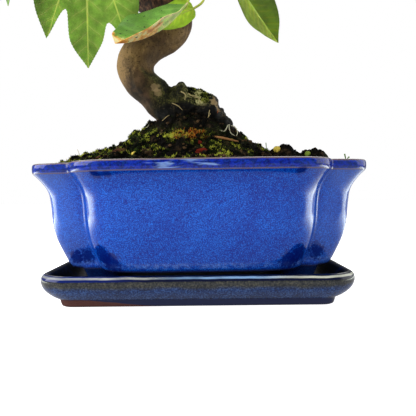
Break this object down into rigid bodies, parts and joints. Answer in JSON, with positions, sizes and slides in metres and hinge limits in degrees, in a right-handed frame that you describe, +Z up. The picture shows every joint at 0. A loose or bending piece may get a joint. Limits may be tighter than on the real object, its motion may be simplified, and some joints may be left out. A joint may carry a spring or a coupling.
{
  "type": "apple bonsai in a glazed pot",
  "caption": "Bonsai tree with an S-shaped trunk and large lobed and oval leaves, in a four-lobed blue glazed pot on a shallow glazed saucer.",
  "frame": {"origin": "on the ground under the middle of the pot, where the whole thing stands on a surface", "axes": "+Z up the tree, +X to the right as seen from the front, -Y out of the front; the pot is longest along X"},
  "size_m": [0.3283, 0.2846, 0.4141],
  "materials": {
    "pot_glaze": "gloss",
    "saucer_glaze": "gloss",
    "netting": "matte",
    "soil": "matte",
    "bark": "matte",
    "leaf": "satin"
  },
  "bodies": {
    "root": {"saucer": "saucer_glaze", "pot": "pot_glaze", "drain_mesh_left": "netting", "drain_mesh_right": "netting", "soil": "soil", "tree": "bark", "shoot_left_tip": "leaf", "shoot_left_back": "leaf", "shoot_right_tip": "leaf", "shoot_right_front": "leaf", "shoot_back_right": "leaf", "shoot_back_left": "leaf", "shoot_back_middle": "leaf", "shoot_upper_left": "leaf", "shoot_upper_right": "leaf", "shoot_front": "leaf", "shoot_upper_back": "leaf", "shoot_apex": "leaf", "shoot_low_left": "leaf", "shoot_low_front": "leaf"}
  },
  "joints": []
}
